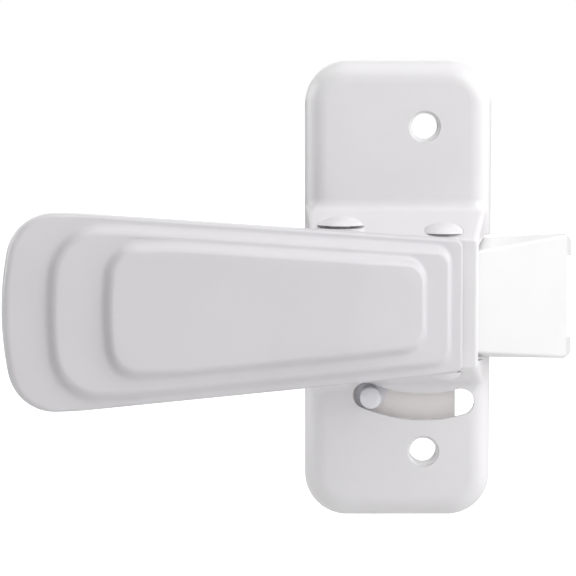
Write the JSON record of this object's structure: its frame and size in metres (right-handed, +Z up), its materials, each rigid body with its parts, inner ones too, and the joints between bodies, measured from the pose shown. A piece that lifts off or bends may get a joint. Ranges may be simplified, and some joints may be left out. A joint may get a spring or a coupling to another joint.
{
  "type": "storm door latch",
  "caption": "Pull-handle latch for a storm door: a raised-bridge plate, a rocking lever that swings a ramped bolt, and a sliding lock knob.",
  "frame": {"origin": "midway between the two screw holes, on the front of the mounting plate", "axes": "+X the way the bolt points, +Z up along the pivot pin, -Y out of the door into the room"},
  "size_m": [0.076, 0.0248, 0.0625],
  "materials": {
    "mounting_plate": "glossy white paint",
    "pivot_pin": "glossy white paint",
    "spring_anchor_pin": "glossy white paint",
    "spring_sleeve": "moulded nylon",
    "return_spring": "zinc plated",
    "back_strap": "white paint",
    "lock_rivet": "zinc plated",
    "lock_wave_washer": "zinc plated",
    "lever": "glossy white paint",
    "latch_bolt": "glossy white paint",
    "pivot_bush_upper": "moulded nylon",
    "pivot_bush_lower": "moulded nylon",
    "drive_rivet_upper": "zinc plated",
    "drive_rivet_lower": "zinc plated",
    "lock_arm": "satin white paint",
    "lock_knob": "satin white paint",
    "lock_collar": "satin white paint"
  },
  "bodies": {
    "plate": {"mounting_plate": "mounting_plate", "pivot_pin": "pivot_pin", "spring_anchor_pin": "spring_anchor_pin", "spring_sleeve": "spring_sleeve", "return_spring": "return_spring", "back_strap": "back_strap", "lock_rivet": "lock_rivet", "lock_wave_washer": "lock_wave_washer"},
    "latch": {"lever": "lever", "latch_bolt": "latch_bolt", "pivot_bush_upper": "pivot_bush_upper", "pivot_bush_lower": "pivot_bush_lower", "drive_rivet_upper": "drive_rivet_upper", "drive_rivet_lower": "drive_rivet_lower"},
    "lock": {"lock_arm": "lock_arm", "lock_knob": "lock_knob", "lock_collar": "lock_collar"}
  },
  "joints": [
    {"name": "latch_pivot", "type": "hinge", "parent": "plate", "child": "latch", "pos_m": [0.00235, -0.0052, 0], "axis": [0, 0, 1], "range_deg": [0, 18], "stiffness_Nm_per_rad": 0.15, "springref_deg": -20.05, "deforming": ["return_spring"]},
    {"name": "lock_swing", "type": "hinge", "parent": "plate", "child": "lock", "pos_m": [0, 0.002, 0.0032], "axis": [0, -1, 0], "range_deg": [-2.4, 38.3]}
  ]
}
